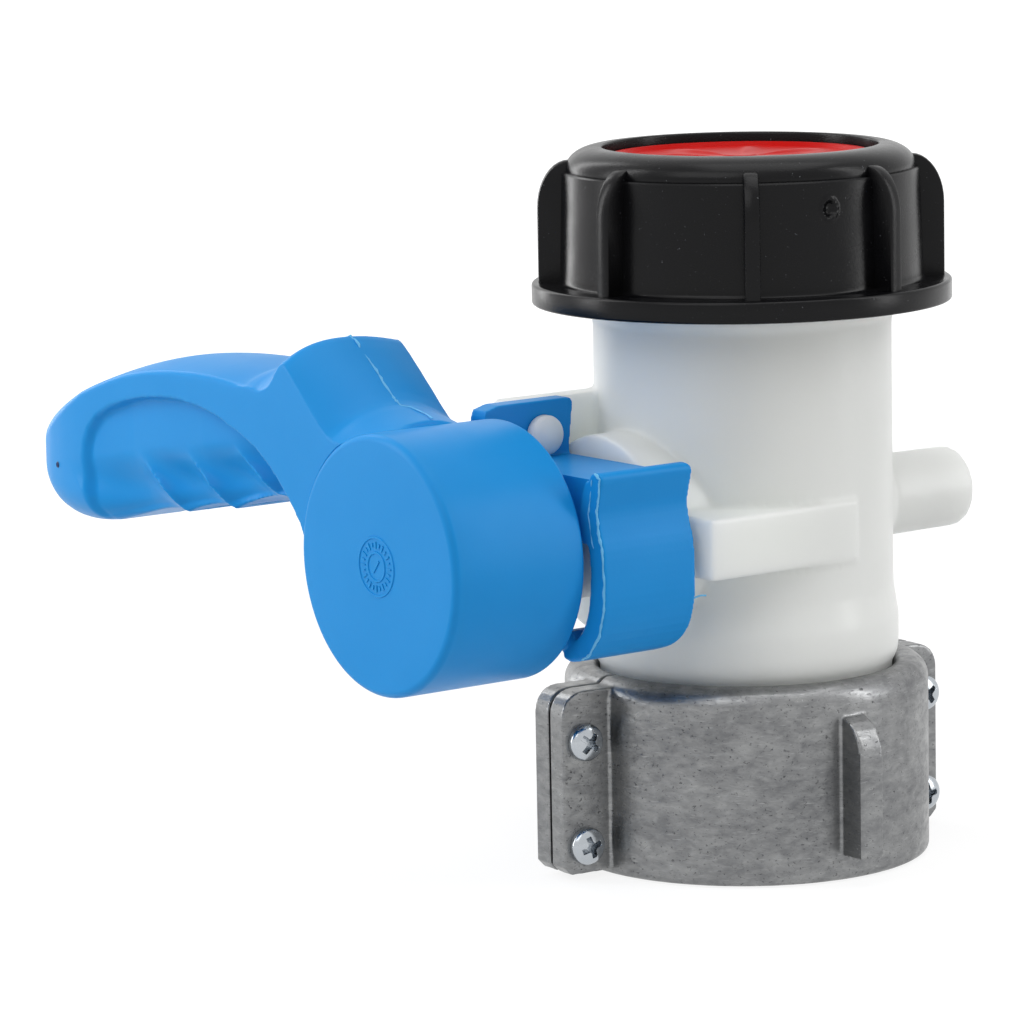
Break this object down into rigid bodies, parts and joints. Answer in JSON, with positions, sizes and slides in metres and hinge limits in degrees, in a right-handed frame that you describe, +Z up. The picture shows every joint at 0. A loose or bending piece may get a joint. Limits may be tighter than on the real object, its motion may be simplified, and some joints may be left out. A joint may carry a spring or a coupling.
{
  "type": "lever outlet valve for an intermediate bulk container",
  "caption": "Lever butterfly tap for a liquid container: white flow tube, threaded cap with blanking disc, cast clamp ring, blue lever with safety latch.",
  "frame": {"origin": "centre of the clamp ring's lower face, on the flow axis", "axes": "+Z up the flow axis from the tank to the outlet cap, stem along Y with the lever hub towards -Y, shut lever's grip towards -X"},
  "size_m": [0.1639, 0.1367, 0.134],
  "materials": {
    "natural_hdpe": "translucent natural polyethylene, satin",
    "blue_plastic": "fine satin moulded",
    "black_plastic": "satin moulded with flow marks",
    "red_plastic": "glossy moulded",
    "cast_aluminium": "raw die casting with stains and pits",
    "zinc_steel": "bright zinc plate",
    "black_rubber": "matte moulded rubber",
    "stem_plastic": "glass-filled polypropylene"
  },
  "bodies": {
    "tap_body": {"valve_body": "natural_hdpe", "stem_gland": "natural_hdpe", "stem_thrust_washer": "black_rubber", "latch_pin": "natural_hdpe", "tank_gasket": "black_rubber"},
    "lever": {"lever_handle": "blue_plastic", "hub_cap": "blue_plastic", "handle_screw": "zinc_steel", "screw_washer": "zinc_steel", "stem": "stem_plastic", "stem_o_rings": "black_rubber", "shut_off_disc": "natural_hdpe", "disc_seal": "black_rubber"},
    "latch": {"lock_latch": "blue_plastic"},
    "closure": {"blanking_disc": "red_plastic", "cap_gasket": "black_rubber"},
    "cap": {"cap_nut": "black_plastic"},
    "clamp": {"clamp_half_front": "cast_aluminium", "clamp_half_rear": "cast_aluminium", "clamp_screws": "zinc_steel"}
  },
  "joints": [
    {"name": "lever_turn", "type": "hinge", "parent": "tap_body", "child": "lever", "pos_m": [0, 0, 0.064], "axis": [0, 1, 0], "range_deg": [0, 90]},
    {"name": "latch_rock", "type": "hinge", "parent": "tap_body", "child": "latch", "pos_m": [-0.01, -0.0418, 0.0827], "axis": [1, 0, 0], "range_deg": [0, 4], "stiffness_Nm_per_rad": 0.05, "springref_deg": -5.73},
    {"name": "cap_lift", "type": "slide", "parent": "tap_body", "child": "closure", "axis": [0, 0, 1], "range_m": [0, 0.018]},
    {"name": "cap_turn", "type": "hinge", "parent": "closure", "child": "cap", "pos_m": [0, 0, 0.105], "axis": [0, 0, 1], "range_deg": [0, 1081]},
    {"name": "clamp_turn", "type": "hinge", "parent": "tap_body", "child": "clamp", "pos_m": [0, 0, 0], "axis": [0, 0, 1], "continuous": true}
  ],
  "couplings": [
    {"joint": "cap_turn", "follows": "cap_lift", "rad_per_m": 1047.2}
  ]
}
